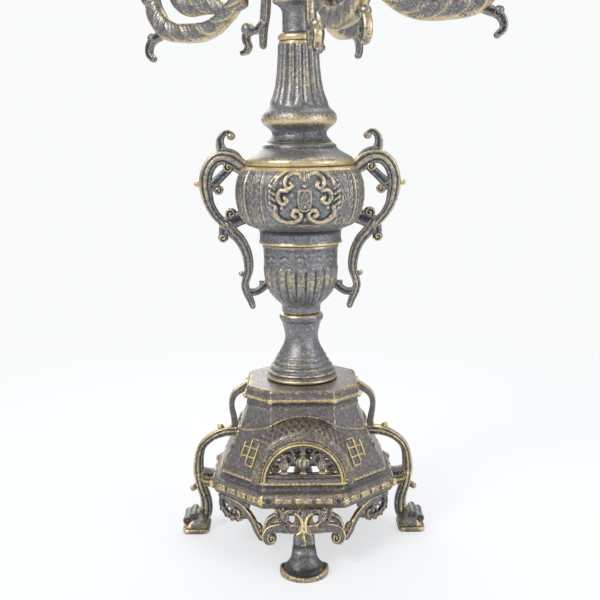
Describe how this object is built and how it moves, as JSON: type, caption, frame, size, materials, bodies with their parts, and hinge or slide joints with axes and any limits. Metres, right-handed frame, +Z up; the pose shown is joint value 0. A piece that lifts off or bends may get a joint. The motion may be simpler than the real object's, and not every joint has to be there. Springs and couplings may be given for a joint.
{
  "type": "candelabrum",
  "caption": "Tall cast brass candelabrum: urn stem with scroll handles on a footed eight-sided base, swivelling leaf-scroll arms and a centre light.",
  "frame": {"origin": "on the stem axis, in the plane of the soles", "axes": "+Z up along the stem; -Y towards the viewer of the picture; +X to the picture's right"},
  "size_m": [0.2808, 0.2905, 0.4743],
  "materials": {
    "stem_brass": "antiqued, dark grey patina rubbed back on the edges",
    "base_brass": "antiqued, dark brown patina rubbed back on the edges",
    "rubbed_brass": "antiqued, rubbed brighter",
    "steel": "plain"
  },
  "bodies": {
    "stem": {"base_body": "base_brass", "grille_front": "base_brass", "grille_back": "base_brass", "leg_right": "base_brass", "leg_left": "base_brass", "leg_front": "base_brass", "leg_back": "base_brass", "apron_front_left": "base_brass", "apron_front_right": "base_brass", "apron_back_right": "base_brass", "apron_back_left": "base_brass", "leg_screw_right": "steel", "leg_screw_left": "steel", "stem_foot": "stem_brass", "urn_cup": "stem_brass", "urn_belly": "stem_brass", "urn_lid": "stem_brass", "column": "stem_brass", "arm_seat": "stem_brass", "handle_right": "stem_brass", "handle_left": "stem_brass", "handle_screw_upper_right": "steel", "handle_screw_lower_right": "steel", "handle_screw_upper_left": "steel", "handle_screw_lower_left": "steel", "arm_spindle": "rubbed_brass", "hub_cap": "stem_brass", "centre_stem": "stem_brass", "pan_centre": "rubbed_brass", "socket_centre": "rubbed_brass", "tie_rod": "steel", "top_nut": "steel", "rod_nut": "steel", "rod_washer": "steel"},
    "arm_right": {"arm_right": "stem_brass", "pan_right": "rubbed_brass", "socket_right": "rubbed_brass", "socket_screw_right": "steel"},
    "arm_rear": {"arm_rear": "stem_brass", "pan_rear": "rubbed_brass", "socket_rear": "rubbed_brass", "socket_screw_rear": "steel"},
    "arm_left": {"arm_left": "stem_brass", "pan_left": "rubbed_brass", "socket_left": "rubbed_brass", "socket_screw_left": "steel"},
    "arm_front": {"arm_front": "stem_brass", "pan_front": "rubbed_brass", "socket_front": "rubbed_brass", "socket_screw_front": "steel"}
  },
  "joints": [
    {"name": "arm_right_swivel", "type": "hinge", "parent": "stem", "child": "arm_right", "pos_m": [0, 0, 0.3922], "axis": [0, 0, 1], "range_deg": [-15, 15]},
    {"name": "arm_rear_swivel", "type": "hinge", "parent": "stem", "child": "arm_rear", "pos_m": [0, 0, 0.3883], "axis": [0, 0, 1], "range_deg": [-15, 15]},
    {"name": "arm_left_swivel", "type": "hinge", "parent": "stem", "child": "arm_left", "pos_m": [0, 0, 0.3844], "axis": [0, 0, 1], "range_deg": [-15, 15]},
    {"name": "arm_front_swivel", "type": "hinge", "parent": "stem", "child": "arm_front", "pos_m": [0, 0, 0.3805], "axis": [0, 0, 1], "range_deg": [-15, 15]}
  ]
}
